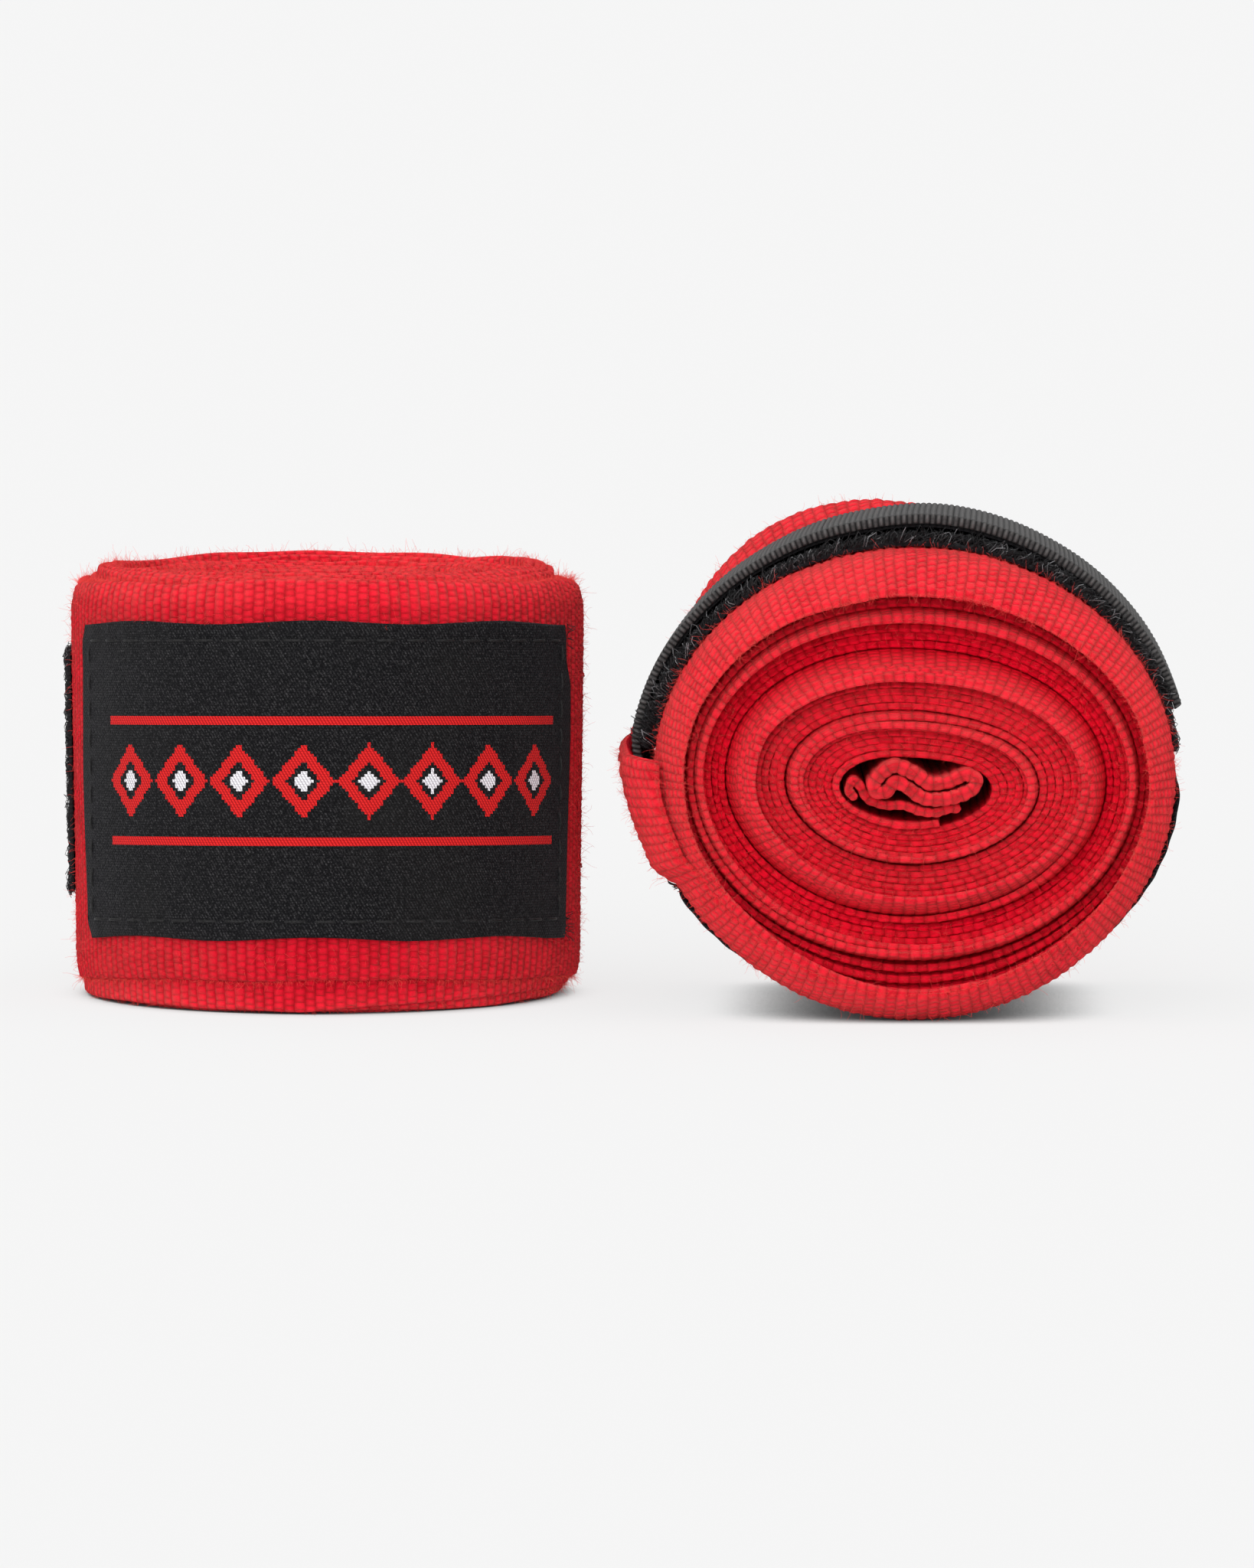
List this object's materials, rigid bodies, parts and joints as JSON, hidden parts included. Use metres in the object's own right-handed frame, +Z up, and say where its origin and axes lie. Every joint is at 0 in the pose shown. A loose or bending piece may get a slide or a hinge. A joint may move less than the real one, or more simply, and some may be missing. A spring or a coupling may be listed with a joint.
{
  "type": "hand wrap",
  "caption": "Rolled cotton hand wraps, standing and lying, each with a thumb loop, a sewn label and a hook-and-loop closing strap.",
  "frame": {"origin": "middle of the pair's footprint, on the surface that it rests on", "axes": "+X from the standing roll A to the lying roll B, -Y towards roll A's label and roll B's visible coiled end, +Z up"},
  "size_m": [0.1338, 0.0674, 0.0591],
  "materials": {
    "band_cloth": "fuzzy ribbed cotton weave, matte",
    "webbing": "ribbed woven polyester, slight sheen",
    "hook_tape": "moulded nylon hooks on a woven backing",
    "loop_pile": "napped nylon loop pile",
    "label": "woven damask satin, soft sheen",
    "thread_black": "twisted polyester thread",
    "thread_red": "twisted polyester thread"
  },
  "bodies": {
    "roll_a": {"roll_a_band": "band_cloth", "roll_a_thumb_loop": "band_cloth", "roll_a_thumb_loop_tack": "thread_red", "roll_a_end_hem_stitching": "thread_red", "roll_a_label": "label", "roll_a_label_stitching": "thread_black", "roll_a_loop_tape": "loop_pile", "roll_a_loop_tape_stitching": "thread_black", "roll_a_strap_root": "webbing"},
    "strap_a_1": {"roll_a_strap_webbing_1": "webbing", "roll_a_strap_hook_1": "hook_tape"},
    "strap_a_2": {"roll_a_strap_webbing_2": "webbing", "roll_a_strap_hook_2": "hook_tape"},
    "strap_a_3": {"roll_a_strap_webbing_3": "webbing", "roll_a_strap_hook_3": "hook_tape"},
    "strap_a_4": {"roll_a_strap_webbing_4": "webbing", "roll_a_strap_hook_4": "hook_tape"},
    "strap_a_5": {"roll_a_strap_webbing_5": "webbing", "roll_a_strap_hook_5": "hook_tape"},
    "strap_a_6": {"roll_a_strap_webbing_6": "webbing", "roll_a_strap_hook_6": "hook_tape"},
    "roll_b": {"roll_b_band": "band_cloth", "roll_b_thumb_loop": "band_cloth", "roll_b_thumb_loop_tack": "thread_red", "roll_b_end_hem_stitching": "thread_red", "roll_b_label": "label", "roll_b_label_stitching": "thread_black", "roll_b_loop_tape": "loop_pile", "roll_b_loop_tape_stitching": "thread_black", "roll_b_strap_root": "webbing"},
    "strap_b_1": {"roll_b_strap_webbing_1": "webbing", "roll_b_strap_hook_1": "hook_tape"},
    "strap_b_2": {"roll_b_strap_webbing_2": "webbing", "roll_b_strap_hook_2": "hook_tape"},
    "strap_b_3": {"roll_b_strap_webbing_3": "webbing", "roll_b_strap_hook_3": "hook_tape"},
    "strap_b_4": {"roll_b_strap_webbing_4": "webbing", "roll_b_strap_hook_4": "hook_tape"},
    "strap_b_5": {"roll_b_strap_webbing_5": "webbing", "roll_b_strap_hook_5": "hook_tape"},
    "strap_b_6": {"roll_b_strap_webbing_6": "webbing", "roll_b_strap_hook_6": "hook_tape"}
  },
  "joints": [
    {"name": "strap_a_peel_1", "type": "hinge", "parent": "roll_a", "child": "strap_a_1", "pos_m": [-0.00545, 0.01024, 0.0278], "axis": [0, 0, -1], "range_deg": [0, 15]},
    {"name": "strap_a_peel_2", "type": "hinge", "parent": "strap_a_1", "child": "strap_a_2", "pos_m": [-0.00924, 0.02186, 0.0278], "axis": [0, 0, -1], "range_deg": [0, 34.5]},
    {"name": "strap_a_peel_3", "type": "hinge", "parent": "strap_a_2", "child": "strap_a_3", "pos_m": [-0.0196, 0.02977, 0.0278], "axis": [0, 0, -1], "range_deg": [0, 22.5]},
    {"name": "strap_a_peel_4", "type": "hinge", "parent": "strap_a_3", "child": "strap_a_4", "pos_m": [-0.03261, 0.03325, 0.0278], "axis": [0, 0, -1], "range_deg": [0, 21.75]},
    {"name": "strap_a_peel_5", "type": "hinge", "parent": "strap_a_4", "child": "strap_a_5", "pos_m": [-0.04612, 0.03168, 0.0278], "axis": [0, 0, -1], "range_deg": [0, 21.75]},
    {"name": "strap_a_peel_6", "type": "hinge", "parent": "strap_a_5", "child": "strap_a_6", "pos_m": [-0.05785, 0.02529, 0.0278], "axis": [0, 0, -1], "range_deg": [0, 23.25]},
    {"name": "roll_b_lift", "type": "slide", "parent": "roll_a", "child": "roll_b", "axis": [0, 0, 1], "range_m": [0, 0.15]},
    {"name": "strap_b_peel_1", "type": "hinge", "parent": "roll_b", "child": "strap_b_1", "pos_m": [0.00441, -0.00587, 0.0309], "axis": [0, -1, 0], "range_deg": [0, 18]},
    {"name": "strap_b_peel_2", "type": "hinge", "parent": "strap_b_1", "child": "strap_b_2", "pos_m": [0.007, -0.00587, 0.04419], "axis": [0, -1, 0], "range_deg": [0, 36]},
    {"name": "strap_b_peel_3", "type": "hinge", "parent": "strap_b_2", "child": "strap_b_3", "pos_m": [0.01768, -0.00587, 0.05401], "axis": [0, -1, 0], "range_deg": [0, 25.2]},
    {"name": "strap_b_peel_4", "type": "hinge", "parent": "strap_b_3", "child": "strap_b_4", "pos_m": [0.03206, -0.00587, 0.05857], "axis": [0, -1, 0], "range_deg": [0, 23.4]},
    {"name": "strap_b_peel_5", "type": "hinge", "parent": "strap_b_4", "child": "strap_b_5", "pos_m": [0.04728, -0.00587, 0.0569], "axis": [0, -1, 0], "range_deg": [0, 27]},
    {"name": "strap_b_peel_6", "type": "hinge", "parent": "strap_b_5", "child": "strap_b_6", "pos_m": [0.05978, -0.00587, 0.04875], "axis": [0, -1, 0], "range_deg": [0, 27]}
  ],
  "couplings": [
    {"joint": "strap_a_peel_2", "follows": "strap_a_peel_1", "ratio": 2.3},
    {"joint": "strap_a_peel_3", "follows": "strap_a_peel_1", "ratio": 1.5},
    {"joint": "strap_a_peel_4", "follows": "strap_a_peel_1", "ratio": 1.45},
    {"joint": "strap_a_peel_5", "follows": "strap_a_peel_1", "ratio": 1.45},
    {"joint": "strap_a_peel_6", "follows": "strap_a_peel_1", "ratio": 1.55},
    {"joint": "strap_b_peel_2", "follows": "strap_b_peel_1", "ratio": 2},
    {"joint": "strap_b_peel_3", "follows": "strap_b_peel_1", "ratio": 1.4},
    {"joint": "strap_b_peel_4", "follows": "strap_b_peel_1", "ratio": 1.3},
    {"joint": "strap_b_peel_5", "follows": "strap_b_peel_1", "ratio": 1.5},
    {"joint": "strap_b_peel_6", "follows": "strap_b_peel_1", "ratio": 1.5}
  ]
}
